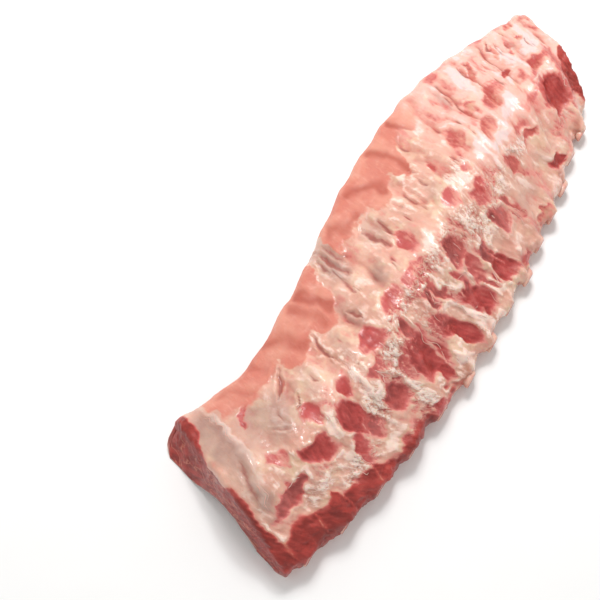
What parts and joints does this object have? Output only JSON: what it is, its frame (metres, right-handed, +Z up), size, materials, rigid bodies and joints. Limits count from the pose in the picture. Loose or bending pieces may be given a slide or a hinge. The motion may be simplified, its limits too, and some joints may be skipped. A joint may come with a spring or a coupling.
{
  "type": "rack of ribs",
  "caption": "Raw rack of pork ribs: an arched slab of meat and fat with slanted rib bones running through it, lying outer side up.",
  "frame": {"origin": "middle of the rack's plan box, on the surface that it lies on", "axes": "+X along the rack towards its narrow end, -Y towards the chine edge where the bone ends show, +Z up through the outer, fat-covered side"},
  "size_m": [0.4587, 0.1471, 0.0461],
  "materials": {
    "raw_meat": "wet raw pork: pale fat and sinew over red meat, glossy with moisture",
    "raw_bone": "raw sawn bone: pale rim round a pink-red core"
  },
  "bodies": {
    "root": {"flesh": "raw_meat", "rib_bone_01": "raw_bone", "rib_bone_02": "raw_bone", "rib_bone_03": "raw_bone", "rib_bone_04": "raw_bone", "rib_bone_05": "raw_bone", "rib_bone_06": "raw_bone", "rib_bone_07": "raw_bone", "rib_bone_08": "raw_bone", "rib_bone_09": "raw_bone", "rib_bone_10": "raw_bone", "rib_bone_11": "raw_bone", "rib_bone_12": "raw_bone", "rib_bone_13": "raw_bone", "rib_bone_14": "raw_bone"}
  },
  "joints": []
}
